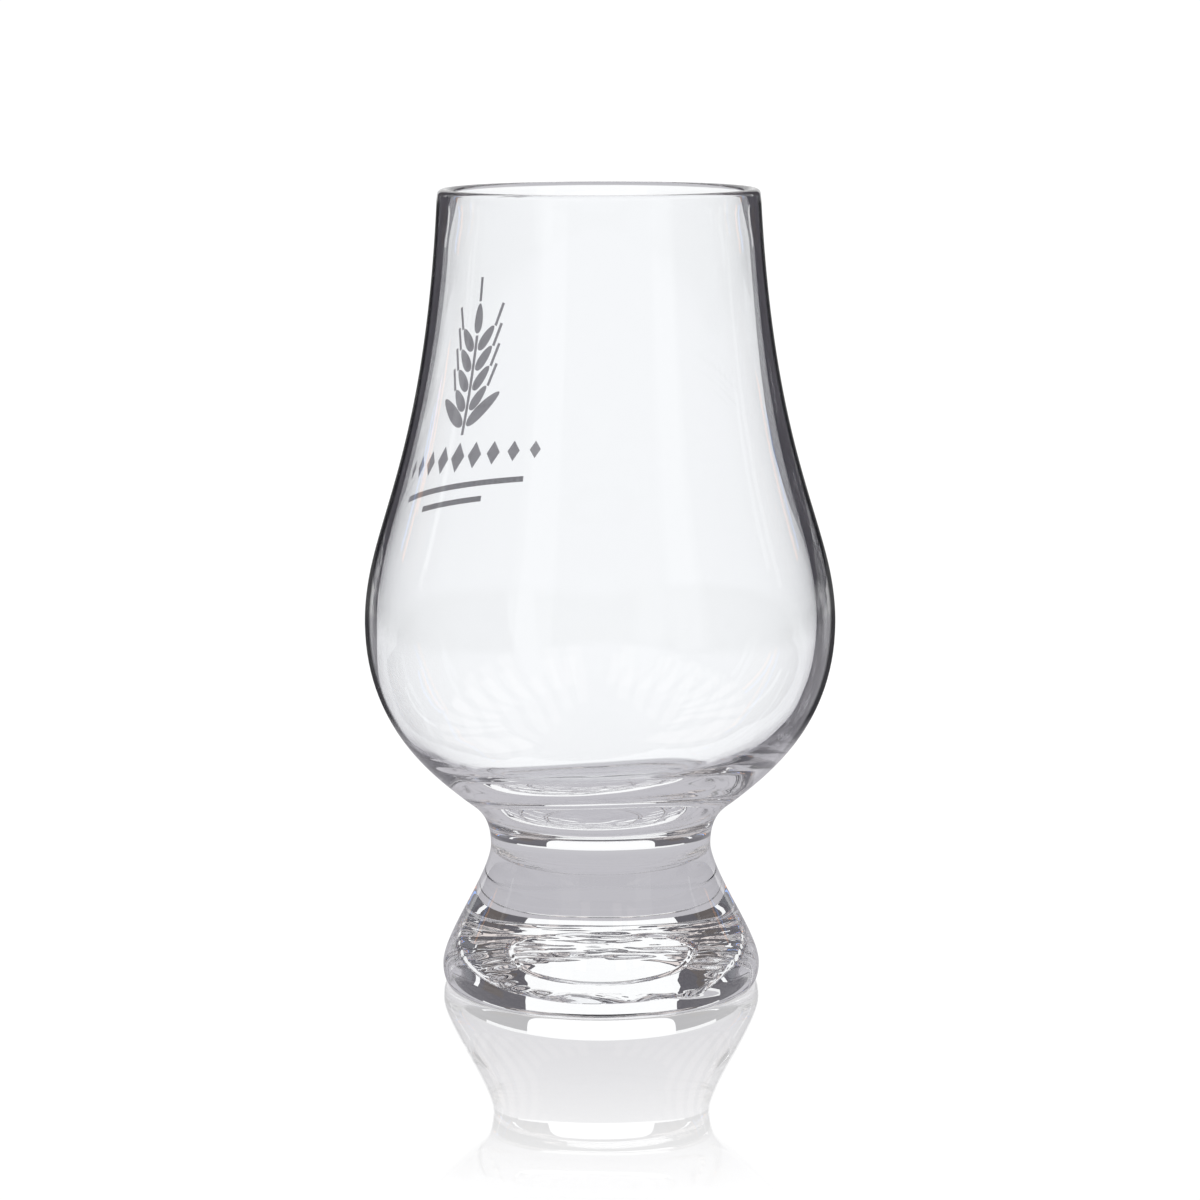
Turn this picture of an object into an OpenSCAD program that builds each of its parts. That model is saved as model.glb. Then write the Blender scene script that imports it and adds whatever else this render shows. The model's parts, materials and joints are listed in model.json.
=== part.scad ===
// Whisky nosing glass: a tulip-shaped bowl that narrows to its mouth, on a short solid foot.
// The origin is the centre of the standing ring, on the table, and +Z points up to the mouth.
// The print is on the outside of the bowl, at the back left (+Y is the back, -X the left).

/* [Rim and neck] */
// Height from the table to the lip
glass_h = 115; // [108:0.5:124]
// Outer diameter at the lip
rim_d = 45.8; // [43:0.2:50]
// Thickness of the fire-polished bead at the lip
rim_wall = 1.9; // [1.6:0.1:2.4]
// Height over which the bead runs out into the wall
rim_bead_h = 8; // [4:0.5:12]
// Height of the round on top of the lip
lip_round = 0.8; // [0.4:0.1:1.2]
// Wall thickness in the neck
neck_wall = 1.4; // [1.1:0.05:1.6]
// Lean of the neck away from upright, in degrees
neck_lean = 3.1; // [1:0.1:5]
// How far down the neck keeps that lean
neck_pull = 40; // [34:0.5:44]

/* [Belly] */
// Greatest outer diameter of the bowl
belly_d = 67.7; // [63:0.1:72]
// Height of the greatest diameter
belly_z = 53; // [50:0.5:56]
// Wall thickness at the greatest diameter
belly_wall = 2.1; // [1.7:0.1:2.6]
// How far up the belly stays upright before it draws in to the neck
belly_rise = 14.1; // [11:0.1:17]
// How far down the belly stays upright before it turns under
belly_drop = 14.7; // [12:0.1:17]

/* [Underside of the bowl] */
// Diameter where the round of the bowl turns into the hollow above the waist
turn_d = 41.4; // [39:0.1:44]
// Height of that turning point
turn_z = 28.2; // [27:0.1:30]
// Slope of the wall there, in degrees from level
turn_slope = 40.6; // [36:0.2:45]
// How far the round of the bowl keeps that slope
turn_out_pull = 4.7; // [3:0.1:6]
// How far the hollow keeps that slope
turn_in_pull = 2.5; // [1.5:0.1:3.5]

/* [Well] */
// Height of the lowest point of the cavity
well_z = 26.5; // [25.5:0.5:28]
// How far down the side of the cavity stays upright below the greatest diameter
well_side = 11; // [10:0.2:12]
// Height where the side of the cavity turns into its floor
well_edge_z = 34.5; // [33.5:0.2:35.5]
// Thickness of the wall there, measured level
well_wall = 3.1; // [2.6:0.1:3.8]
// Slope of the cavity there, in degrees from level
well_slope = 36; // [33:0.5:40]
// How far the side of the cavity keeps that slope
well_side_pull = 4; // [3:0.2:5]
// How far the floor keeps that slope
well_floor_pull = 7; // [5.6:0.2:8]
// How far out from the middle the floor stays level
well_level = 11; // [9:0.5:13]

/* [Foot] */
// Diameter at the waist, where bowl and foot are fused
waist_d = 31.9; // [29:0.1:34]
// Height of the waist
waist_z = 20.3; // [18:0.1:22]
// How far up the hollow above the waist stays upright
waist_rise = 5.1; // [4:0.1:6]
// How far down the hollow below the waist stays upright
waist_drop = 4.3; // [3:0.1:6]
// Greatest diameter of the foot
foot_d = 46.2; // [44:0.1:50]
// Height of the greatest diameter of the foot
foot_edge_z = 2.5; // [1.8:0.1:3.2]
// How far up the edge of the foot stays upright
foot_edge_rise = 3.7; // [2.5:0.1:5]
// How far the round under the edge runs in before it meets the table
foot_edge_round = 0.9; // [0.6:0.1:1.4]

/* [Underside of the foot] */
// Width of the flat ring that the glass stands on
ring_w = 2.2; // [1.5:0.1:3]
// Width of the slope from the ring up into the hollow
hollow_slope_w = 1.2; // [0.8:0.1:2]
// Height of that slope
hollow_edge_h = 0.6; // [0.4:0.1:1.2]
// Rise of the hollow from its edge to its middle
hollow_rise = 1.2; // [0.6:0.1:2]
// Diameter of the outer moulded bead in the hollow
bead_outer_d = 29.6; // [26:0.2:31]
// Diameter of the inner moulded bead in the hollow
bead_inner_d = 18.4; // [14:0.2:21]
// Radius of the beads
bead_r = 0.35; // [0.25:0.05:0.4]

/* [Print] */
// Way the print faces, in degrees from the back towards the left
print_turn = 49; // [30:1:70]
// Thickness of the enamel film
print_t = 0.12; // [0.1:0.01:0.2]
// Height of the lowest pair of grains in the ear of barley
ear_z = 83.5; // [82.5:0.5:85]
// Step from one pair of grains to the next
grain_step = 3; // [2.8:0.05:3.2]
// Pairs of grains in the ear
grain_pairs = 4; // [3:1:5]
// Length of a grain
grain_l = 4.4; // [3.8:0.1:4.6]
// Width of a grain
grain_w = 1.7; // [1.2:0.05:1.75]
// Lean of the grains away from the stalk, in degrees
grain_lean = 40; // [38:1:43]
// Distance of the middle of a grain from the stalk
grain_out = 2.1; // [2.05:0.05:2.3]
// Length of the beard on a grain
beard_l = 3.5; // [2.5:0.5:5]
// Lean of the beards away from the stalk, in degrees
beard_lean = 21; // [18:1:26]
// Width of a beard
beard_w = 0.45; // [0.3:0.05:0.5]
// Gap between a grain and its beard, and between the top grain and the stalk
tip_gap = 0.3; // [0.2:0.05:0.5]
// Width of the stalk
stalk_w = 0.5; // [0.3:0.05:0.6]
// Length of the stalk below the lowest pair of grains
stalk_l = 5.5; // [5.2:0.1:5.8]
// Length of a leaf
leaf_l = 7.5; // [5:0.5:8]
// Width of a leaf
leaf_w = 2; // [1.2:0.1:2.1]
// Lean of the leaves away from the stalk, in degrees
leaf_lean = 52; // [49:1:58]
// Lozenges in the row below the ear
lozenge_n = 9; // [5:2:11]
// Height of the middle of the row
lozenge_z = 74.5; // [73:0.5:75.5]
// Distance between lozenges round the wall
lozenge_step = 3.7; // [3.4:0.1:4]
// Width of the middle lozenge
lozenge_w = 3; // [2:0.1:3.1]
// Height of the middle lozenge
lozenge_h = 4.6; // [3:0.1:5]
// How much smaller the end lozenges are than the middle one, as a share of it
lozenge_taper = 0.4; // [0.2:0.05:0.6]
// Length of the upper of the two rules below the row
rule_len = 28; // [20:1:34]
// Height of the upper rule
rule_z = 69.4; // [68:0.2:70.2]
// Step down to the lower rule
rule_step = 2.6; // [1.6:0.1:3]
// Thickness of a rule
rule_w = 0.9; // [0.5:0.1:1.2]

/* [Hidden] */

// Steps along the long curves, along the short ones, and round the small rounds
long_steps = 28;
short_steps = 10;
round_steps = 6;
$fn = 144;
// Steps along one side of a pointed oval, and how far its widest place lies below its middle
oval_steps = 12;
oval_droop = 0.25;
// Reach of the flat motifs to each side of the wall, more than the wall leans over one of them
film_reach = 4;

// Points along a cubic curve from a to d that leaves a towards b and arrives at d from c.
// The first point is left out, so that curves can follow one another.
function curve(a, b, c, d, steps) =
    [for (i = [1:steps]) let (t = i / steps, s = 1 - t)
        s * s * s * a + 3 * s * s * t * b + 3 * s * t * t * c + t * t * t * d];

// Points along a quarter of an ellipse, from start_angle on, without its first point
function quarter(centre, across, up, start_angle, steps) =
    [for (i = [1:steps]) let (a = start_angle + 90 * i / steps)
        centre + [across * cos(a), up * sin(a)]];

function reversed(points) = [for (i = [len(points) - 1:-1:0]) points[i]];

// Outside of the glass, as [radius, height], from below the lip down to the table
lip_outer = [rim_d / 2, glass_h - lip_round];
belly_outer = [belly_d / 2, belly_z];
turn = [turn_d / 2, turn_z];
turn_way = [cos(turn_slope), sin(turn_slope)];
neck_way = [sin(neck_lean), -cos(neck_lean)];
waist = [waist_d / 2, waist_z];
foot_edge = [foot_d / 2, foot_edge_z];
ring_outer = [foot_d / 2 - foot_edge_round, 0];

bowl_outside = concat(
    [lip_outer],
    curve(lip_outer, lip_outer + neck_pull * neck_way,
        belly_outer + [0, belly_rise], belly_outer, long_steps),
    curve(belly_outer, belly_outer - [0, belly_drop],
        turn + turn_out_pull * turn_way, turn, long_steps / 2),
    curve(turn, turn - turn_in_pull * turn_way,
        waist + [0, waist_rise], waist, short_steps));

foot_outside = concat(
    [waist],
    curve(waist, waist - [0, waist_drop],
        foot_edge + [0, foot_edge_rise], foot_edge, long_steps / 2),
    quarter([ring_outer[0], foot_edge_z], foot_edge_round, -foot_edge_z, 0, round_steps));

// Radius of the outside wall at a height above the waist
wall_table = reversed([for (p = bowl_outside) [p[1], p[0]]]);
function wall_r(z) = lookup(z, wall_table);

// Inside of the glass, from the lip down to the middle of the well. The wall is thinnest in the
// neck, and swells a little towards the lip, where the flame has drawn it into a bead.
lip_inner_r = rim_d / 2 - neck_wall;
belly_inner = [belly_d / 2 - belly_wall, belly_z];
well_edge = [wall_r(well_edge_z) - well_wall, well_edge_z];
well_way = [cos(well_slope), sin(well_slope)];
well = [0, well_z];

function bead_swell(z) =
    z < glass_h - rim_bead_h ? 0
        : (rim_wall - neck_wall) * (1 - cos(180 * (z - glass_h + rim_bead_h) / rim_bead_h)) / 2;

function swollen(points) = [for (p = points) p - [bead_swell(p[1]), 0]];

bowl_inside = swollen(concat(
    [[lip_inner_r, lip_outer[1]]],
    curve([lip_inner_r, lip_outer[1]], [lip_inner_r, lip_outer[1]] + neck_pull * neck_way,
        belly_inner + [0, belly_rise], belly_inner, long_steps),
    curve(belly_inner, belly_inner - [0, well_side],
        well_edge + well_side_pull * well_way, well_edge, long_steps / 2),
    curve(well_edge, well_edge - well_floor_pull * well_way,
        well + [well_level, 0], well, long_steps / 2)));

// Round over the lip, from the inside to the outside
lip_half = (lip_outer[0] - bowl_inside[0][0]) / 2;
lip_middle = [lip_outer[0] - lip_half, lip_outer[1]];
lip_top = concat(
    reversed(quarter(lip_middle, lip_half, lip_round, 90, round_steps)),
    reversed(quarter(lip_middle, lip_half, lip_round, 0, round_steps)));

// Underside of the foot, from the standing ring to the middle: a short slope, then a low dome
ring_inner_r = ring_outer[0] - ring_w;
hollow_r = ring_inner_r - hollow_slope_w;

function hollow_z(r) = hollow_edge_h + hollow_rise * (1 - (r / hollow_r) * (r / hollow_r));

underside = concat(
    [[ring_inner_r, 0]],
    [for (i = [short_steps:-1:0]) let (r = hollow_r * i / short_steps) [r, hollow_z(r)]]);

module bowl() {
    color([0.86, 0.89, 0.91, 0.4])
        rotate_extrude()
            polygon(concat(bowl_outside, [[0, waist_z]], reversed(bowl_inside), lip_top));
}

// Moulded ring on the underside: a half-round bead that stands down from the hollow
module underside_bead(bead_d) {
    bead_z = hollow_z(bead_d / 2);
    rotate_extrude()
        translate([bead_d / 2, bead_z])
            circle(r = bead_r, $fn = 24);
}

module foot() {
    color([0.84, 0.87, 0.89, 0.4])
        union() {
            rotate_extrude()
                polygon(concat(foot_outside, underside, [[0, waist_z]]));
            underside_bead(bead_outer_d);
            underside_bead(bead_inner_d);
        }
}

// Places a flat outline on the wall: across is the distance round the wall from the middle of
// the print, and the outline runs outwards through the film.
module on_wall(across, z) {
    rotate([0, 0, 90 + print_turn + across / wall_r(z) * 180 / PI])
        translate([wall_r(z) - film_reach, 0, z])
            rotate([90, 0, 90])
                linear_extrude(2 * film_reach)
                    children();
}

// Film that covers the wall from one height to another
module film(z_low, z_high) {
    wall = concat(
        [[wall_r(z_low), z_low]],
        reversed([for (p = bowl_outside) if (p[1] > z_low && p[1] < z_high) p]),
        [[wall_r(z_high), z_high]]);
    rotate_extrude()
        polygon(concat(wall, reversed([for (p = wall) p + [print_t, 0]])));
}

// Pointed oval with its long axis upright and its widest place a little below the middle
module pointed_oval(length, width) {
    polygon([for (i = [0:2 * oval_steps - 1]) let (a = 180 * i / oval_steps)
        [width / 2 * sin(a) * (1 - oval_droop * cos(a)), length / 2 * cos(a)]]);
}

module lozenge(size) {
    polygon([[lozenge_w / 2, 0], [0, lozenge_h / 2], [-lozenge_w / 2, 0], [0, -lozenge_h / 2]] * size);
}

// Ear of barley: grains in pairs with their beards, one grain on top, the stalk and two leaves
module barley_ear() {
    top_z = ear_z + grain_pairs * grain_step;
    for (side = [-1, 1]) {
        for (i = [0:grain_pairs - 1]) {
            z = ear_z + i * grain_step;
            tip = [grain_out + grain_l / 2 * sin(grain_lean), grain_l / 2 * cos(grain_lean)];
            on_wall(side * grain_out, z)
                rotate(-side * grain_lean)
                    pointed_oval(grain_l, grain_w);
            on_wall(side * (tip[0] + tip_gap), z + tip[1])
                rotate(-side * beard_lean)
                    translate([-beard_w / 2, 0])
                        square([beard_w, beard_l]);
        }
        on_wall(side * (stalk_w + leaf_l / 2 * sin(leaf_lean)), ear_z - stalk_l + leaf_l / 2)
            rotate(-side * leaf_lean)
                pointed_oval(leaf_l, leaf_w);
    }
    on_wall(0, top_z)
        pointed_oval(grain_l, grain_w);
    on_wall(0, top_z + grain_l / 2 + tip_gap)
        translate([-beard_w / 2, 0])
            square([beard_w, beard_l]);
    on_wall(0, ear_z - stalk_l)
        translate([-stalk_w / 2, 0])
            square([stalk_w, top_z - ear_z + stalk_l - grain_l / 2 - tip_gap]);
}

// Row of lozenges that grow smaller towards both ends
module lozenge_row() {
    half = (lozenge_n - 1) / 2;
    for (i = [-half:half]) {
        on_wall(i * lozenge_step, lozenge_z)
            lozenge(1 - lozenge_taper * abs(i) / half);
    }
}

// Thin line round part of the wall
module rule(z, length) {
    turn_angle = length / wall_r(z) * 180 / PI;
    rotate([0, 0, 90 + print_turn - turn_angle / 2])
        rotate_extrude(angle = turn_angle)
            polygon([[wall_r(z), z], [wall_r(z) + print_t, z],
                [wall_r(z + rule_w) + print_t, z + rule_w], [wall_r(z + rule_w), z + rule_w]]);
}

module printed_mark() {
    color([0.58, 0.58, 0.59]) {
        intersection() {
            film(lozenge_z - lozenge_h, glass_h - rim_bead_h);
            union() {
                barley_ear();
                lozenge_row();
            }
        }
        rule(rule_z, rule_len);
        rule(rule_z - rule_step, rule_len / 2);
    }
}

bowl();
foot();
printed_mark();
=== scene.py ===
# %% [markdown]
# # A whisky nosing glass
# The glass is one clear vessel: a tulip bowl with a thin wall, closed by a thick rounded well, on a
# short solid foot. A grey print is fired on the outside of the bowl. The frame below is the packed
# model, in metres, with the origin in the middle of the ring that the glass stands on.

# %% Load the frame
import json
import math

import bmesh
import bpy
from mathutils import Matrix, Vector, noise

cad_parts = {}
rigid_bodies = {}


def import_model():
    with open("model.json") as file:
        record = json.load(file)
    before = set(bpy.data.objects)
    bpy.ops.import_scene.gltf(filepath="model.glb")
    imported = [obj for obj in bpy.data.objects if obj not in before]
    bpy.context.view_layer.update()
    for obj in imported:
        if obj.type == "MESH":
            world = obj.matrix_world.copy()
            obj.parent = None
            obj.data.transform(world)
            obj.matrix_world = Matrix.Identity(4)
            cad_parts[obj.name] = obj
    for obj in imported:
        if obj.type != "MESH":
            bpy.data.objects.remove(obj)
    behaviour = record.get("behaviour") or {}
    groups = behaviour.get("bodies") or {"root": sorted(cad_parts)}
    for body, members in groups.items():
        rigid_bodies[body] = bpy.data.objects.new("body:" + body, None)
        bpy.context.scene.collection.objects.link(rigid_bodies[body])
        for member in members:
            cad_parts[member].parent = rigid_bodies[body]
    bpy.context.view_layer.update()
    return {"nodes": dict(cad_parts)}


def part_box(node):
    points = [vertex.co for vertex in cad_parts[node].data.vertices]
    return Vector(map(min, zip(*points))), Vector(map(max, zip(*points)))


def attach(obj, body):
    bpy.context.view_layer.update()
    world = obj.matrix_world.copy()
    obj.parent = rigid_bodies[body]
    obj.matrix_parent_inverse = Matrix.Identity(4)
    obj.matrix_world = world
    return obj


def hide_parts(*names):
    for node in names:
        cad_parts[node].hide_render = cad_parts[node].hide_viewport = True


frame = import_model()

_, bowl_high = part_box("bowl")
_, foot_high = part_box("foot")

# %% [markdown]
# ## Camera
# The photograph looks slightly down on the glass, from close by, so the lip is a thin ellipse and
# the standing ring a rounder one. The two ellipses fix the camera: half a metre away, a little above
# the lip, with a long lens. In the picture the glass stands a pixel or two left of the middle and
# leans by a hair, so the camera stands a fifth of a millimetre to the right and is rolled a little.

# %% Place the camera
MM = 0.001
SENSOR = 36.0
PICTURE = 1200
camera_distance = 497 * MM
camera_height = 137.4 * MM
camera_aside = 0.22 * MM
camera_pitch = 9.3
camera_roll = 0.16
focal_pixels = 3496

camera_data = bpy.data.cameras.new("camera")
camera_data.sensor_width = SENSOR
camera_data.lens = SENSOR * focal_pixels / PICTURE
camera = bpy.data.objects.new("camera", camera_data)
bpy.context.collection.objects.link(camera)
camera.location = (camera_aside, -camera_distance, camera_height)
camera.rotation_euler = (math.radians(90 - camera_pitch), math.radians(camera_roll), 0)
bpy.context.scene.camera = camera
print("lens", round(camera_data.lens, 1), "mm at", camera_distance, "m")

# %% [markdown]
# ## The outline of the glass
# A glass like this is blown and pressed in a turned mould, so every section is a circle and one
# outline holds the whole form. The outline is a chain of cubic curves between a few stations that a
# mould maker would measure: lip, belly, the turn under the bowl, waist and foot. Curves between
# stations keep the surface smooth, which matters more in clear glass than anywhere else, because
# every flat shows as a broken refraction. A rise, a drop or a pull says how far a curve keeps the
# direction that it has at its station.

# %% Curves between stations, in millimetres
def curve(start, leave, arrive, end, steps):
    """Points along a cubic curve, without the first one, so that curves can follow one another."""
    points = []
    for i in range(1, steps + 1):
        t = i / steps
        s = 1 - t
        points.append(s**3 * start + 3 * s * s * t * leave + 3 * s * t * t * arrive + t**3 * end)
    return points


def quarter(centre, across, up, start_degrees, steps):
    """Points along a quarter of an ellipse, without the first one."""
    angles = [math.radians(start_degrees + 90 * i / steps) for i in range(1, steps + 1)]
    return [centre + Vector((across * math.cos(a), up * math.sin(a))) for a in angles]


def way(degrees):
    """The direction at an angle from level, one millimetre long."""
    return Vector((math.cos(math.radians(degrees)), math.sin(math.radians(degrees))))


UP = Vector((0, 1))

# %% Stations of the outside
lip_round = 0.8
rim_r = 22.9
belly_z = 53.0
turn_r, turn_z, turn_slope = 20.7, 28.2, 40.6
waist_r = 15.95
foot_edge_z = 2.5
foot_edge_round = 0.9

glass_h = bowl_high.z / MM
belly_r = bowl_high.x / MM
foot_r = foot_high.x / MM

lip = Vector((rim_r, glass_h - lip_round))
belly = Vector((belly_r, belly_z))
turn = Vector((turn_r, turn_z))
waist = Vector((waist_r, foot_high.z / MM))
edge = Vector((foot_r, foot_edge_z))
ring_outer = Vector((foot_r - foot_edge_round, 0))
stations = (lip, belly, turn, waist, edge)
print("lip, belly, turn, waist and foot:", [tuple(round(v, 2) for v in p) for p in stations])

# %% Outside of the glass
neck_lean, neck_pull = 3.1, 40
belly_rise, belly_drop = 14.1, 14.7
turn_out_pull, turn_in_pull = 4.7, 2.5
waist_rise, waist_drop = 5.1, 4.3
foot_edge_rise = 3.7
NECK_STEPS = 56

neck_way = way(-90 + neck_lean)
turn_way = way(turn_slope)
edge_middle = Vector((ring_outer.x, foot_edge_z))

outside = [lip]
outside += curve(lip, lip + neck_pull * neck_way, belly + belly_rise * UP, belly, NECK_STEPS)
outside += curve(belly, belly - belly_drop * UP, turn + turn_out_pull * turn_way, turn, steps=30)
outside += curve(turn, turn - turn_in_pull * turn_way, waist + waist_rise * UP, waist, steps=16)
outside += curve(waist, waist - waist_drop * UP, edge + foot_edge_rise * UP, edge, steps=28)
outside += quarter(edge_middle, foot_edge_round, -foot_edge_z, start_degrees=0, steps=10)
print("outside:", len(outside), "points from lip to table")

# %% [markdown]
# ## The cavity and the underside
# The wall is thin in the neck and grows downwards, because hot glass sags before it sets. The flame
# that polishes the lip draws it into a small bead. Low in the bowl the cavity leaves the outside and
# closes in a rounded floor, with solid glass below. Underneath, the foot is pressed hollow, so that
# it stands on a ring and not on its middle, and two plain moulded beads run round in the hollow.

# %% Stations of the cavity
neck_wall = 1.4
belly_wall = 2.1
well_z = 26.5
well_edge_z = 34.5
well_wall = 3.1
well_slope = 36


def outer_radius(z):
    """Radius of the outside at a height above the waist."""
    for above, below in zip(outside, outside[1:]):
        if below.y <= z <= above.y:
            return below.x + (above.x - below.x) * (z - below.y) / (above.y - below.y)


lip_inner = Vector((rim_r - neck_wall, lip.y))
belly_inner = Vector((belly_r - belly_wall, belly_z))
well_edge = Vector((outer_radius(well_edge_z) - well_wall, well_edge_z))
well_way = way(well_slope)
well = Vector((0, well_z))
print("edge of the well:", round(well_edge.x, 2), "mm out,", well_edge_z, "mm up")

# %% Cavity
well_side = 11
well_side_pull, well_floor_pull = 4, 7
well_level = Vector((11, 0))

neck_end, side_end = belly_inner + belly_rise * UP, well_edge + well_side_pull * well_way
cavity = [lip_inner]
cavity += curve(lip_inner, lip_inner + neck_pull * neck_way, neck_end, belly_inner, NECK_STEPS)
cavity += curve(belly_inner, belly_inner - well_side * UP, side_end, well_edge, steps=28)
cavity += curve(well_edge, well_edge - well_floor_pull * well_way, well + well_level, well, steps=28)
print("cavity:", len(cavity), "points, floor", well_z, "mm above the table")

# %% Bead at the lip
rim_wall = 1.9
rim_bead_h = 8.0


def bead_swell(z):
    """How much the flame has thickened the wall at a height."""
    share = (z - glass_h + rim_bead_h) / rim_bead_h
    return (rim_wall - neck_wall) * (1 - math.cos(math.pi * share)) / 2 if share > 0 else 0


cavity = [Vector((p.x - bead_swell(p.y), p.y)) for p in cavity]
lip_half = (lip.x - cavity[0].x) / 2
lip_middle = Vector((lip.x - lip_half, lip.y))
lip_top = quarter(lip_middle, lip_half, lip_round, start_degrees=0, steps=8)
lip_top += quarter(lip_middle, lip_half, lip_round, start_degrees=90, steps=8)
print("lip:", round(2 * lip_half, 2), "mm thick")

# %% Underside
ring_w = 2.2
hollow_slope_w = 1.2
hollow_edge_h = 0.6
hollow_rise = 1.2
hollow_r = ring_outer.x - ring_w - hollow_slope_w
bead_radii = (14.8, 9.2)
bead_r = 0.35
UNDERSIDE_STEPS = 140


def hollow_z(r):
    """Height of the hollow at a radius: a shallow dome, with the two beads standing down from it."""
    dome = hollow_edge_h + hollow_rise * (1 - (r / hollow_r) ** 2)
    for bead in bead_radii:
        if abs(r - bead) < bead_r:
            dome -= math.sqrt(bead_r**2 - (r - bead) ** 2)
    return dome


radii = [hollow_r * i / UNDERSIDE_STEPS for i in range(UNDERSIDE_STEPS, -1, -1)]
underside = [Vector((ring_outer.x - ring_w, 0))] + [Vector((r, hollow_z(r))) for r in radii]
print("underside:", len(underside), "points, hollow", round(hollow_z(0), 2), "mm deep in the middle")

# %% [markdown]
# ## Turning the outline
# A lathe turns the mould, and the spin operator does the same: it sweeps the closed outline round
# the axis. The bowl and the foot are one piece here, because they are fused while hot, and light
# must not meet a wall between them. A number on each corner of the outline says whether it lies
# outside, in the cavity or underneath, and the spin copies it round, so that each surface can be
# given its own waves and its own finish afterwards.

# %% Spin the glass
ROUND_STEPS = 200
OUTSIDE, CAVITY, UNDERSIDE = 0, 1, 2
merge_gap = 0.002 * MM

outline = [(p, UNDERSIDE) for p in reversed(underside)]
outline += [(p, OUTSIDE) for p in list(reversed(outside)) + lip_top[:-1]]
outline += [(p, CAVITY) for p in cavity]

glass_mesh = bmesh.new()
surface = glass_mesh.verts.layers.int.new("surface")
corners = []
for point, kind in outline:
    corner = glass_mesh.verts.new((point.x * MM, 0, point.y * MM))
    corner[surface] = kind
    corners.append(corner)
edges = [glass_mesh.edges.new(pair) for pair in zip(corners, corners[1:])]
bmesh.ops.spin(
    glass_mesh, geom=corners + edges, cent=(0, 0, 0), axis=(0, 0, 1),
    angle=2 * math.pi, steps=ROUND_STEPS, use_merge=True,
)
bmesh.ops.remove_doubles(glass_mesh, verts=glass_mesh.verts, dist=merge_gap)
counts = [sum(v[surface] == kind for v in glass_mesh.verts) for kind in (OUTSIDE, CAVITY, UNDERSIDE)]
print("corners outside, in the cavity and underneath:", counts)

# %% [markdown]
# ## Waves in the glass
# A turned outline is too perfect. Real pressed and blown glass has a skin that froze in waves: long
# ones in the cavity, where only air shaped it, and shorter ones outside, where it left the mould.
# They are about a tenth of a millimetre high and can't be seen as shapes, but they bend what shows
# through the glass. A noise function moves the corners, because a bump in the material would turn
# only the shading and not the far side of the wall.

# %% Wave helpers, in millimetres
def ease(x, low, high):
    """0 below low and 1 above high, with a smooth step between."""
    t = min(1, max(0, (x - low) / (high - low)))
    return t * t * (3 - 2 * t)


def waves(point, length, shift=0.0):
    """Smooth hills and dips between about -1 and 1, a length apart; a shift gives other ones."""
    return noise.noise((point + Vector((shift, 0, 0))) / length)


# %% Waves outside
outside_wave, outside_length = 0.06, 9.0
foot_starts, bowl_clears = (1, 6), (30, 40)


def wave_outside(p):
    """In and out on the foot and the waist, and none on the bowl, which is clear all over."""
    height = ease(p.z, *foot_starts) * (1 - ease(p.z, *bowl_clears))
    push = outside_wave * height * waves(p, outside_length)
    return Vector((p.x, p.y, 0)).normalized() * push


print("outside: up to", outside_wave, "mm high and about", outside_length, "mm long")

# %% [markdown]
# ## An uneven cavity
# The cavity is blown a third of a millimetre off the middle, and its floor is tilted, by 0.7 mm at
# the edge of the well. Both fade out upwards. So the thick bottom is uneven from side to side, as it
# is in the photograph, where its lines slant.

# %% Waves in the cavity
cavity_wave, cavity_length = 0.12, 16.0
fine_share, fine_length = 0.35, 5
cavity_clears = (36, 60)
cavity_shift, shift_ends = -0.35, (70, 105)
cavity_tilt, tilt_radius = 0.6, 20


def wave_cavity(p):
    """Long and short waves low in the cavity, with its shift and its tilt."""
    low = 1 - ease(p.z, *cavity_clears)
    both = waves(p, cavity_length, shift=40) + fine_share * waves(p, fine_length, shift=70)
    push = cavity_wave * low * both
    shift = cavity_shift * (1 - ease(p.z, *shift_ends))
    tilt = cavity_tilt * low * p.x / tilt_radius
    off_middle = Vector((shift, 0, tilt))
    return Vector((p.x, p.y, 0)).normalized() * push + off_middle + Vector((0, 0, push / 2))


print("cavity:", cavity_shift, "mm off the middle, tilted", cavity_tilt, "mm in", tilt_radius, "mm")

# %% [markdown]
# ## A rough underside
# The plunger chills the underside first, and the hot glass that slides over it freezes in streaks.
# They are up to 0.4 mm high, long across the glass and short in depth, and they make the bright and
# dark threads in the foot. A smooth oval patch in front stays free of them and lies half a
# millimetre lower. Behind the middle the streaks reach further out at the sides.

# %% Streaks underneath
hammer_wave, hammer_length, hammer_fade = 0.03, 2.2, 1.5
streak_wave, streak_length, streak_depth = 0.4, 5, 1.2
thread_share, thread_length, thread_depth = 0.4, 2.5, 0.7
THREAD_LAYER = 5
streak_outer, streak_fade, streak_limit = bead_radii[0], 0.8, (18, 18.7)
side_behind, side_gain, side_change = 0.78, 0.22, (-2, 4)


def streaks(p):
    """Coarse streaks with finer threads on them, the threads from another layer of the noise."""
    coarse = noise.noise(Vector((p.x / streak_length, p.y / streak_depth, 0)))
    threads = noise.noise(Vector((p.x / thread_length, p.y / thread_depth, THREAD_LAYER)))
    return coarse + thread_share * threads


def streak_ends(p, r):
    """Two shares that fall from 1 to 0: at the outer bead, and further out at the hollow's slope."""
    side = side_behind + side_gain * ease(-p.y, *side_change)
    inside = 1 - ease(math.hypot(side * p.x, p.y), streak_outer - streak_fade, streak_outer)
    return inside, 1 - ease(r, *streak_limit)


print("streaks:", streak_wave, "mm high,", streak_length, "by", streak_depth, "mm")

# %% Smooth patch underneath
smooth_middle = Vector((1.0, -6.5, 0))
smooth_half = Vector((11.5, 6.0))
smooth_drop = 0.5
streaks_start, drop_ends = (0.9, 1.1), (0.8, 1.3)


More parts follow.
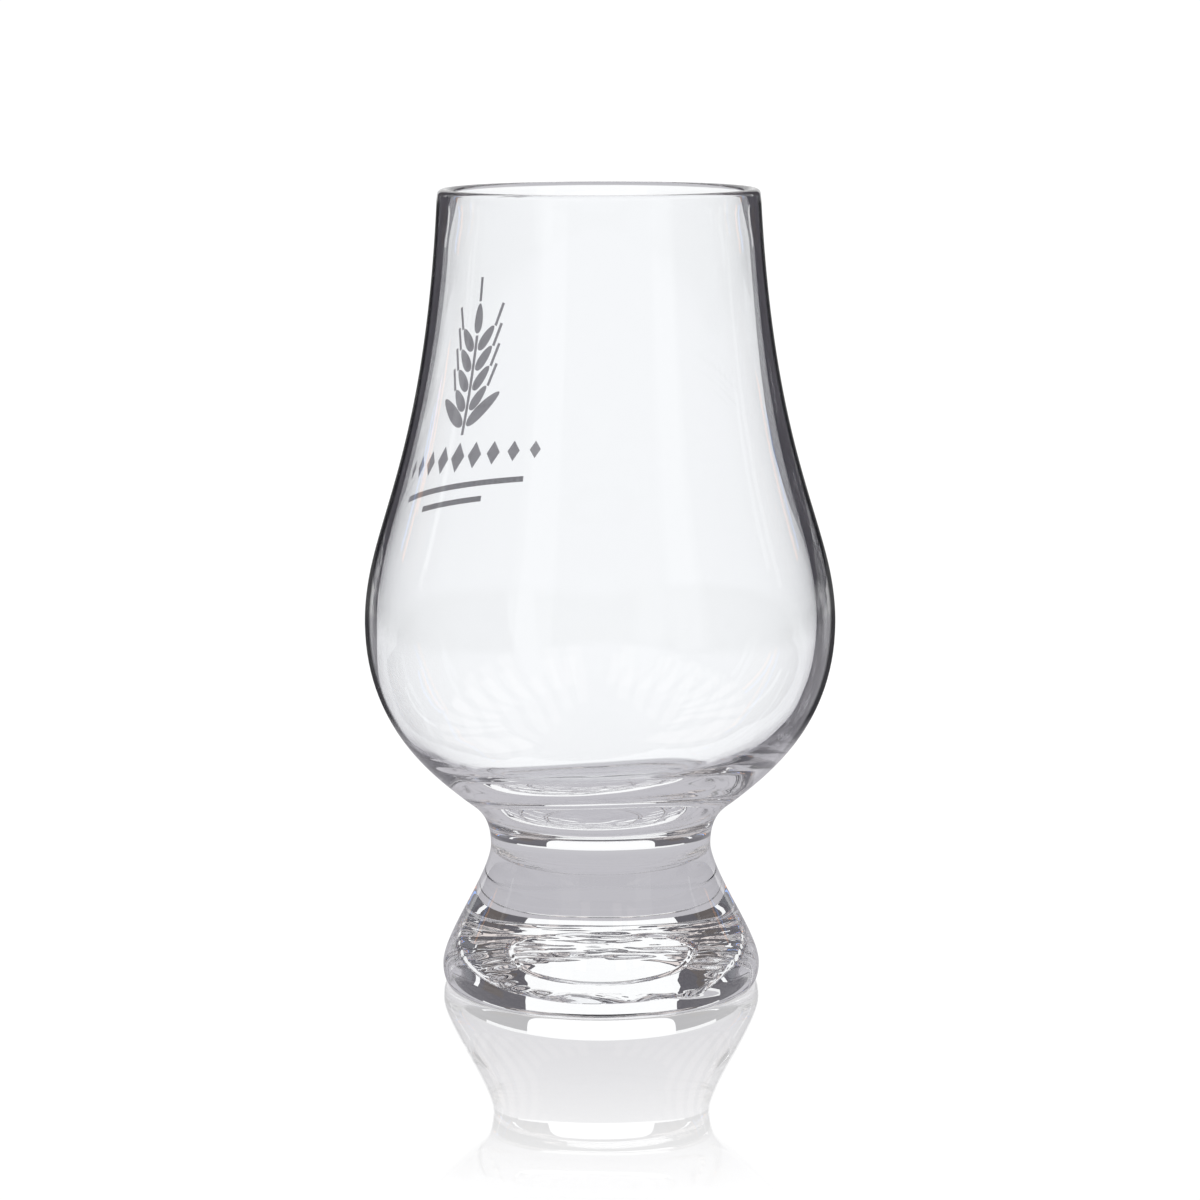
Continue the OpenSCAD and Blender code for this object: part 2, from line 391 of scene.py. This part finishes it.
def wave_underside(p):
    """Up and down: a fine hammered skin, the streaks and the lower smooth patch."""
    r = math.hypot(p.x, p.y)
    off = p - smooth_middle
    patch = math.hypot(off.x / smooth_half.x, off.y / smooth_half.y)
    inside, limit = streak_ends(p, r)
    streaked = ease(patch, *streaks_start) * inside * limit
    hammered = 1 - ease(r, streak_outer - hammer_fade, streak_outer)
    drop = smooth_drop * (1 - ease(patch, *drop_ends))
    skin = hammer_wave * hammered * waves(p, hammer_length)
    return Vector((0, 0, skin + streak_wave * streaked * streaks(p) - drop))


print("smooth patch:", 2 * smooth_half.x, "by", 2 * smooth_half.y, "mm,", smooth_drop, "mm lower")

# %% [markdown]
# ## Moving the corners
# Each corner goes by the function of its own surface. The corners on the axis stay, so that the
# poles stay closed, and so does the ring underneath, because the glass stands flat on it.

# %% Move the corners
axis_gap = 0.01
ring_top = 0.3

largest = [0.0, 0.0, 0.0]
for corner in glass_mesh.verts:
    place = corner.co / MM
    kind = corner[surface]
    if math.hypot(place.x, place.y) < axis_gap or (kind == UNDERSIDE and place.z <= ring_top):
        continue
    move = (wave_outside, wave_cavity, wave_underside)[kind](place)
    corner.co += move * MM
    largest[kind] = max(largest[kind], move.length)
bmesh.ops.recalc_face_normals(glass_mesh, faces=glass_mesh.faces)
print("largest moves outside, in the cavity and underneath, in mm:", [round(m, 2) for m in largest])
volume = glass_mesh.calc_volume() / (10 * MM) ** 3
print("glass:", len(glass_mesh.faces), "faces, volume", round(volume, 1), "ml")

# %% [markdown]
# ## One piece with three finishes
# The number on the corners now becomes the number of the finish on each face. A face that touches
# the outside counts as outside. The finished piece stands in for the bowl and the foot of the frame.

# %% Make the mesh a piece
def finish_piece(name, mesh, smooth=True):
    data = bpy.data.meshes.new(name)
    mesh.to_mesh(data)
    mesh.free()
    for face in data.polygons:
        face.use_smooth = smooth
    piece = bpy.data.objects.new(name, data)
    bpy.context.collection.objects.link(piece)
    return piece


for face in glass_mesh.faces:
    kinds = {corner[surface] for corner in face.verts}
    face.material_index = OUTSIDE if OUTSIDE in kinds else max(kinds)
glass = finish_piece("blown_glass", glass_mesh)
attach(glass, "root")
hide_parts("bowl", "foot")
print("piece:", glass.name, "with", len(glass.data.polygons), "faces")

# %% [markdown]
# ## Materials
# Two finishes: clear crystal glass, and grey enamel that is printed and fired on it. Clear glass has
# no colour of its own to speak of. What draws it is the dark of the studio, which the wall bends
# into a line along each edge where it is seen side on, and painted shade in the glass deepens it.

# %% Helpers for materials
def linear(hex_colour):
    """sRGB hex to the linear colour that shaders work in."""
    parts = [int(hex_colour[i:i + 2], 16) / 255 for i in (1, 3, 5)]
    return [p / 12.92 if p <= 0.04045 else ((p + 0.055) / 1.055) ** 2.4 for p in parts] + [1.0]


def add(tree, kind, settings=None, links=None):
    """Adds a node, sets its sockets or properties, and links its inputs by name or number."""
    node = tree.nodes.new(kind)
    for name, value in (settings or {}).items():
        if isinstance(name, int) or name in node.inputs:
            node.inputs[name].default_value = value
        else:
            setattr(node, name, value)
    for name, source in (links or {}).items():
        tree.links.new(source, node.inputs[name])
    return node


def new_material(name):
    material = bpy.data.materials.new(name)
    material.use_nodes = True
    material.node_tree.nodes.clear()
    return material, material.node_tree


# %% [markdown]
# ## Crystal glass
# A glass shader alone makes an edge as pale as the panel behind it, because a path of light that
# grazes the wall many times is still white in the end. So shade is painted in: a grey diffuse skin
# is mixed in where the surface is seen nearly side on, and in the cavity only where the wall
# reflects everything, which Fresnel tells. It is painted shade that deepens the dark line along
# each edge. Everywhere else the glass stays clear. The painted shade belongs to the thin wall: it
# all but ends below the well and at the lip, whose edges are pale in the photograph.

# %% Clear glass and its painted shade edge
glass_index = 1.52
wall_low, wall_high = 35.5 * MM, 41 * MM


def clear_glass(tree):
    # Lead-free crystal, fire-polished: no roughness at all, and an index a little over window glass
    return add(tree, "ShaderNodeBsdfPrincipled", {
        "Base Color": linear("#fdfeff"), "Roughness": 0.0, "IOR": glass_index,
        "Transmission Weight": 1.0,
    })


def with_painted_edge_shade(tree, sight, share, start, full, most, shade_colour):
    """Clear glass with painted shade, a grey diffuse skin that grows as sight goes from start to
    full.
    """
    edge = add(tree, "ShaderNodeMapRange", {
        "interpolation_type": "SMOOTHSTEP",
        "From Min": start, "From Max": full, "To Min": 0.0, "To Max": most,
    }, {"Value": sight})
    amount = add(tree, "ShaderNodeMath", {"operation": "MULTIPLY"},
                 {0: edge.outputs["Result"], 1: share})
    # The grey diffuse skin is painted shade: it darkens the glass where the edge is seen side on
    skin = add(tree, "ShaderNodeBsdfDiffuse", {"Color": linear(shade_colour)})
    mix = add(tree, "ShaderNodeMixShader", links={
        0: amount.outputs["Value"], 1: clear_glass(tree).outputs["BSDF"], 2: skin.outputs["BSDF"],
    })
    add(tree, "ShaderNodeOutputMaterial", links={"Surface": mix.outputs["Shader"]})


# %% Fire-polished outside
foot_share = 0.12
lip_low, lip_high, lip_share = 113 * MM, 114.3 * MM, 0.15


def fire_polished_glass():
    # Crystal, polished in the flame: clear seen square on, with painted shade in a dark line along
    # the wall's edge
    material, tree = new_material("crystal_glass_fire_polished")
    facing = add(tree, "ShaderNodeLayerWeight", {"Blend": 0.5})
    place = add(tree, "ShaderNodeTexCoord")
    parts = add(tree, "ShaderNodeSeparateXYZ", links={"Vector": place.outputs["Object"]})
    on_wall = add(tree, "ShaderNodeMapRange", {
        "From Min": wall_low, "From Max": wall_high, "To Min": foot_share,
    }, {"Value": parts.outputs["Z"]})
    off_lip = add(tree, "ShaderNodeMapRange", {
        "From Min": lip_low, "From Max": lip_high, "To Min": 1.0, "To Max": lip_share,
    }, {"Value": parts.outputs["Z"]})
    share = add(tree, "ShaderNodeMath", {"operation": "MULTIPLY"},
                {0: on_wall.outputs["Result"], 1: off_lip.outputs["Result"]})
    # Painted shade: a dark grey line where the outer wall is seen side on
    with_painted_edge_shade(tree, facing.outputs["Facing"], share.outputs["Value"],
                   start=0.77, full=0.83, most=0.9, shade_colour="#2c2c30")
    return material


# %% Blown cavity
shade_streak_size = 3 * MM
shade_streak_stretch = (1, 1, 0.3)


def blown_cavity_glass():
    # Crystal, shaped by air alone: painted grey shade where the wall reflects everything, broken
    # into faint upward streaks like cords of uneven melt
    material, tree = new_material("crystal_glass_blown_inside")
    mirror = add(tree, "ShaderNodeFresnel", {"IOR": glass_index})
    place = add(tree, "ShaderNodeTexCoord")
    parts = add(tree, "ShaderNodeSeparateXYZ", links={"Vector": place.outputs["Object"]})
    on_wall = add(tree, "ShaderNodeMapRange", {"From Min": wall_low, "From Max": wall_high},
                  {"Value": parts.outputs["Z"]})
    stretched = add(tree, "ShaderNodeVectorMath", {"operation": "MULTIPLY", 1: shade_streak_stretch},
                    {0: place.outputs["Object"]})
    # This noise only breaks the painted shade into streaks
    shade_streaks = add(tree, "ShaderNodeTexNoise", {"Scale": 1 / shade_streak_size, "Detail": 3.0},
                {"Vector": stretched.outputs["Vector"]})
    uneven_shade = add(tree, "ShaderNodeMapRange", {
        "From Min": 0.35, "From Max": 0.55, "To Min": 0.45, "To Max": 1.0,
    }, {"Value": shade_streaks.outputs["Fac"]})
    share = add(tree, "ShaderNodeMath", {"operation": "MULTIPLY"},
                {0: on_wall.outputs["Result"], 1: uneven_shade.outputs["Result"]})
    # Painted shade: a paler grey where the cavity wall reflects everything, made uneven by the
    # streaks
    with_painted_edge_shade(tree, mirror.outputs["Fac"], share.outputs["Value"],
                   start=0.9, full=0.99, most=0.85, shade_colour="#8c8c94")
    return material


# %% Pressed underside, and the three finishes on the glass
def pressed_glass():
    # Crystal, pressed: as clear as the rest, because its roughness is in the streaks of the mesh
    material, tree = new_material("crystal_glass_pressed_underside")
    add(tree, "ShaderNodeOutputMaterial", links={"Surface": clear_glass(tree).outputs["BSDF"]})
    return material


for finish in (fire_polished_glass(), blown_cavity_glass(), pressed_glass()):
    glass.data.materials.append(finish)
print("finishes:", [finish.name for finish in glass.data.materials])

# %% [markdown]
# ## Fired enamel
# The print is a film of ceramic enamel, pushed through a fine screen and fired on. It is seen from
# inside, through the far wall, with the lit panel behind it. A film of a tenth of a millimetre lets
# part of that light through, so it is a soft grey and not black.

# %% Fired enamel
grain_size = 0.4 * MM
enamel_roughness, enamel_index = 0.38, 1.5
enamel_cover = 0.42
enamel_glow = 0.5


def fired_enamel():
    # Grey ceramic enamel, screen-printed and fired: satin, translucent, with a faint grain from the
    # screen, which is drawn coarser than a real screen's tenth of a millimetre so that it shows
    material, tree = new_material("ceramic_enamel_screen_printed")
    place = add(tree, "ShaderNodeTexCoord")
    grain = add(tree, "ShaderNodeTexNoise", {"Scale": 1 / grain_size, "Detail": 2.0},
                {"Vector": place.outputs["Object"]})
    tone = add(tree, "ShaderNodeValToRGB", links={"Fac": grain.outputs["Fac"]})
    tone.color_ramp.elements[0].color = linear("#c0bfc4")
    tone.color_ramp.elements[1].color = linear("#cecdd2")
    film = add(tree, "ShaderNodeBsdfPrincipled", {
        "Roughness": enamel_roughness, "IOR": enamel_index, "Alpha": enamel_cover,
    }, {"Base Color": tone.outputs["Color"]})
    glow = add(tree, "ShaderNodeBsdfTranslucent", links={"Color": tone.outputs["Color"]})
    thin = add(tree, "ShaderNodeMixShader", {0: enamel_glow},
               {1: film.outputs["BSDF"], 2: glow.outputs["BSDF"]})
    add(tree, "ShaderNodeOutputMaterial", links={"Surface": thin.outputs["Shader"]})
    return material


mark = frame["nodes"]["printed_mark"]
mark.data.materials.clear()
mark.data.materials.append(fired_enamel())
print("print:", mark.name, "in", mark.data.materials[0].name)

# %% [markdown]
# ## The set
# Clear glass shows what stands behind it, so the set makes the picture. The glass stands on white
# gloss acrylic in front of one upright lit panel, as wide as the view. Past the panel's edges the
# studio is dark, and the thick edges of the glass bend that dark into their outline. Two narrow
# cards in front lay a faint stripe down each side of the bowl, and a wide dim one lifts the front.
# The set turns with the camera, as it does when a glass is shot on a turntable.

# %% Turntable and what stands on it
rig = bpy.data.objects.new("turntable", None)
bpy.context.collection.objects.link(rig)
follow = rig.constraints.new("LOCKED_TRACK")
follow.target = camera
follow.track_axis = "TRACK_NEGATIVE_Y"
follow.lock_axis = "LOCK_Z"


def light_material(name, strength, colour):
    material, tree = new_material(name)
    light = add(tree, "ShaderNodeEmission", {"Strength": strength, "Color": linear(colour)})
    add(tree, "ShaderNodeOutputMaterial", links={"Surface": light.outputs["Emission"]})
    return material


def flat_piece(name, corner_points, material):
    mesh = bmesh.new()
    mesh.faces.new([mesh.verts.new(p) for p in corner_points])
    piece = finish_piece(name, mesh, smooth=False)
    piece.data.materials.append(material)
    piece.parent = rig


def upright_card(name, start, end, top, strength, bottom=0.0, colour="#ffffff"):
    """A lit card that stands on the line from start to end, all in millimetres."""
    (x0, y0), (x1, y1) = start, end
    corner_points = [(x0, y0, bottom), (x1, y1, bottom), (x1, y1, top), (x0, y0, top)]
    flat_piece(name, [Vector(p) * MM for p in corner_points], light_material(name, strength, colour))


# %% Panel and front cards
panel_light = 1.06
panel_left, panel_right, panel_top = (-175, 500), (175, 500), 600
strip_top, strip_light = 500, 0.5
fill_left, fill_right, fill_top, fill_light = (-1500, -1500), (1500, -1500), 1500, 0.25

upright_card("opal_acrylic_lit_from_behind", panel_left, panel_right, panel_top, panel_light)
upright_card("front_strip_left", (-187, -464), (-321, -383), strip_top, strip_light)
upright_card("front_strip_right", (294, -405), (394, -308), strip_top, strip_light)
upright_card("front_fill", fill_left, fill_right, fill_top, fill_light)
print("panel and cards:", len(rig.children))

# %% [markdown]
# ## Strips at the sides
# The edges of the foot and the waist look far out to the sides, and what stands there gives them
# their pale and coloured lines. Low cards carry the light on from the panel at the height of the
# foot. Dim strips stand in a circle round the glass, and pale ones hang above them. Real glass
# splits a little of the light into its colours at the foot. The renderer doesn't, so a blue and an
# orange strip on each side make the small glints.

# %% Side strips
low_azimuth, low_distance, low_top, low_light = 36, 540, 22, 0.95
side_bottom, side_top = 130, 380
# Azimuth and width in degrees, strength and colour
side_strips = (
    (27, 10, 0.14, "#f4e6e2"), (40, 3, 1.1, "#ffffff"), (46, 8, 0.2, "#e6e8f2"),
    (57, 2, 1.4, "#86b4ff"), (61, 2, 1.4, "#ffb070"), (66, 10, 0.2, "#f4e6e2"),
    (80, 3, 0.7, "#ffffff"), (90, 12, 0.2, "#e6e8f2"),
)
high_azimuths, high_width = range(24, 160, 15), 9
high_bottom, high_top, high_light, high_colour = 400, 1000, 0.9, "#f6ece8"


def on_circle(side, azimuth, distance=600):
    """A place round the glass: the azimuth runs from straight behind it towards a side."""
    angle = math.radians(azimuth)
    return side * distance * math.sin(angle), distance * math.cos(angle)


for side, name, panel_edge in ((-1, "left", panel_left), (1, "right", panel_right)):
    low_end = on_circle(side, low_azimuth, low_distance)
    upright_card(f"low_card_{name}", panel_edge, low_end, low_top, low_light)
    for azimuth, width, strength, colour in side_strips:
        start, end = on_circle(side, azimuth), on_circle(side, azimuth + width)
        upright_card(f"side_strip_{name}_{azimuth}", start, end, side_top, strength,
                     bottom=side_bottom, colour=colour)
    for azimuth in high_azimuths:
        start, end = on_circle(side, azimuth), on_circle(side, azimuth + high_width)
        upright_card(f"high_strip_{name}_{azimuth}", start, end, high_top, high_light,
                     bottom=high_bottom, colour=high_colour)
print("with the strips:", len(rig.children))

# %% [markdown]
# ## The floor
# The background of the photograph is bleached to white, and only the mirror image of the foot tells
# where the floor is. Seen through the glass, the same floor carries a painted shadow: a mid grey
# near the foot and white further off. So the camera sees bleached acrylic that mirrors the foot,
# with a mirror image that fades with the distance, and every other ray sees the painted grey
# shadow. Light that comes straight through the walls of the bowl finds the grey only close behind
# the foot. Light that passes the solid foot alone, or is mirrored in it, finds the grey much further
# back. Far out at the sides the floor is dim, so that its far edge draws no bright line across the
# bowl.

# %% The floor as the camera sees it
mirror_share = 0.62
mirror_start, mirror_end = 20 * MM, 125 * MM
mirror_squeeze = (1.6, 1, 1)


def bleached_acrylic(tree, place):
    """White, with a mirror image that fades away from the foot, and sooner at the sides."""
    squeezed = add(tree, "ShaderNodeVectorMath", {"operation": "MULTIPLY", 1: mirror_squeeze},
                   {0: place})
    reach = add(tree, "ShaderNodeVectorMath", {"operation": "LENGTH"},
                {0: squeezed.outputs["Vector"]})
    fade = add(tree, "ShaderNodeMapRange", {
        "interpolation_type": "SMOOTHSTEP",
        "From Min": mirror_start, "From Max": mirror_end, "To Min": mirror_share, "To Max": 0.0,
    }, {"Value": reach.outputs["Value"]})
    white = add(tree, "ShaderNodeEmission", {"Strength": panel_light})
    mirror = add(tree, "ShaderNodeBsdfGlossy", {"Roughness": 0.0, "Color": (1, 1, 1, 1)})
    return add(tree, "ShaderNodeMixShader", links={
        0: fade.outputs["Result"], 1: white.outputs["Emission"], 2: mirror.outputs["BSDF"],
    })


# %% The floor as the glass sees it
through_walls, no_mirror = 2.5, 0.5
near_reach, far_reach = 42 * MM, 400 * MM
# Colours of the painted shadow round the foot, from grey near it to white further off
painted_shadow_stops = ((0.0, "#bdbbc0"), (0.8, "#c4c3c6"), (0.95, "#ffffff"))
dim_start, dim_end, dim_light = 220 * MM, 420 * MM, 0.2


def acrylic_with_painted_shadow(tree, place, path):
    """A painted shadow: grey from the foot back to a reach that the way of the light gives, and
    white behind that.
    """
    parts = add(tree, "ShaderNodeSeparateXYZ", links={"Vector": place})
    through_bowl = add(tree, "ShaderNodeMath", {"operation": "GREATER_THAN", 1: through_walls},
                       {0: path.outputs["Transmission Depth"]})
    unmirrored = add(tree, "ShaderNodeMath", {"operation": "LESS_THAN", 1: no_mirror},
                     {0: path.outputs["Glossy Depth"]})
    straight = add(tree, "ShaderNodeMath", {"operation": "MULTIPLY"},
                   {0: through_bowl.outputs["Value"], 1: unmirrored.outputs["Value"]})
    reach = add(tree, "ShaderNodeMapRange", {
        "From Min": 0.0, "From Max": 1.0, "To Min": far_reach, "To Max": near_reach,
    }, {"Value": straight.outputs["Value"]})
    share = add(tree, "ShaderNodeMath", {"operation": "DIVIDE"},
                {0: parts.outputs["Y"], 1: reach.outputs["Result"]})
    shade = add(tree, "ShaderNodeValToRGB", links={"Fac": share.outputs["Value"]})
    shade.color_ramp.elements.new(painted_shadow_stops[1][0])
    for stop, (position, colour) in zip(shade.color_ramp.elements, painted_shadow_stops):
        stop.position = position
        stop.color = linear(colour)
    aside = add(tree, "ShaderNodeMath", {"operation": "ABSOLUTE"}, {0: parts.outputs["X"]})
    light = add(tree, "ShaderNodeMapRange", {
        "interpolation_type": "SMOOTHSTEP",
        "From Min": dim_start, "From Max": dim_end, "To Min": panel_light, "To Max": dim_light,
    }, {"Value": aside.outputs["Value"]})
    return add(tree, "ShaderNodeEmission", links={
        "Color": shade.outputs["Color"], "Strength": light.outputs["Result"],
    })


# %% Lay the floor
floor_half = 1500 * MM
floor_back = 500 * MM


def gloss_acrylic():
    # White cast acrylic, polished: a sharp mirror image on plain white, and for all rays but the
    # camera's a painted grey shadow round the foot
    material, tree = new_material("white_acrylic_gloss")
    place = add(tree, "ShaderNodeTexCoord").outputs["Object"]
    path = add(tree, "ShaderNodeLightPath")
    both = add(tree, "ShaderNodeMixShader", links={
        0: path.outputs["Is Camera Ray"],
        1: acrylic_with_painted_shadow(tree, place, path).outputs["Emission"],
        2: bleached_acrylic(tree, place).outputs["Shader"],
    })
    add(tree, "ShaderNodeOutputMaterial", links={"Surface": both.outputs["Shader"]})
    return material


flat_piece("gloss_floor", [
    (-floor_half, -floor_half, 0), (floor_half, -floor_half, 0),
    (floor_half, floor_back, 0), (-floor_half, floor_back, 0),
], gloss_acrylic())
print("with the floor:", len(rig.children))

# %% [markdown]
# ## The studio and the light paths
# The room is nearly black. Light that enters the foot is thrown round inside it many times before it
# leaves, and each pass costs a bounce, so the bounce counts are high. With too few, thick glass
# turns black.

# %% Studio beyond the set
room_colour = (0.12, 0.115, 0.13, 1)
light_bounces = 64

world = bpy.data.worlds.new("dark_studio")
bpy.context.scene.world = world
world.use_nodes = True
world.node_tree.nodes.clear()
room = add(world.node_tree, "ShaderNodeBackground", {"Color": room_colour, "Strength": 1.0})
add(world.node_tree, "ShaderNodeOutputWorld", links={"Surface": room.outputs["Background"]})

bpy.context.scene.view_settings.view_transform = "Standard"
cycles = bpy.context.scene.cycles
cycles.max_bounces = light_bounces
cycles.transmission_bounces = light_bounces
cycles.glossy_bounces = light_bounces
print("studio:", world.name, "with up to", light_bounces, "bounces")
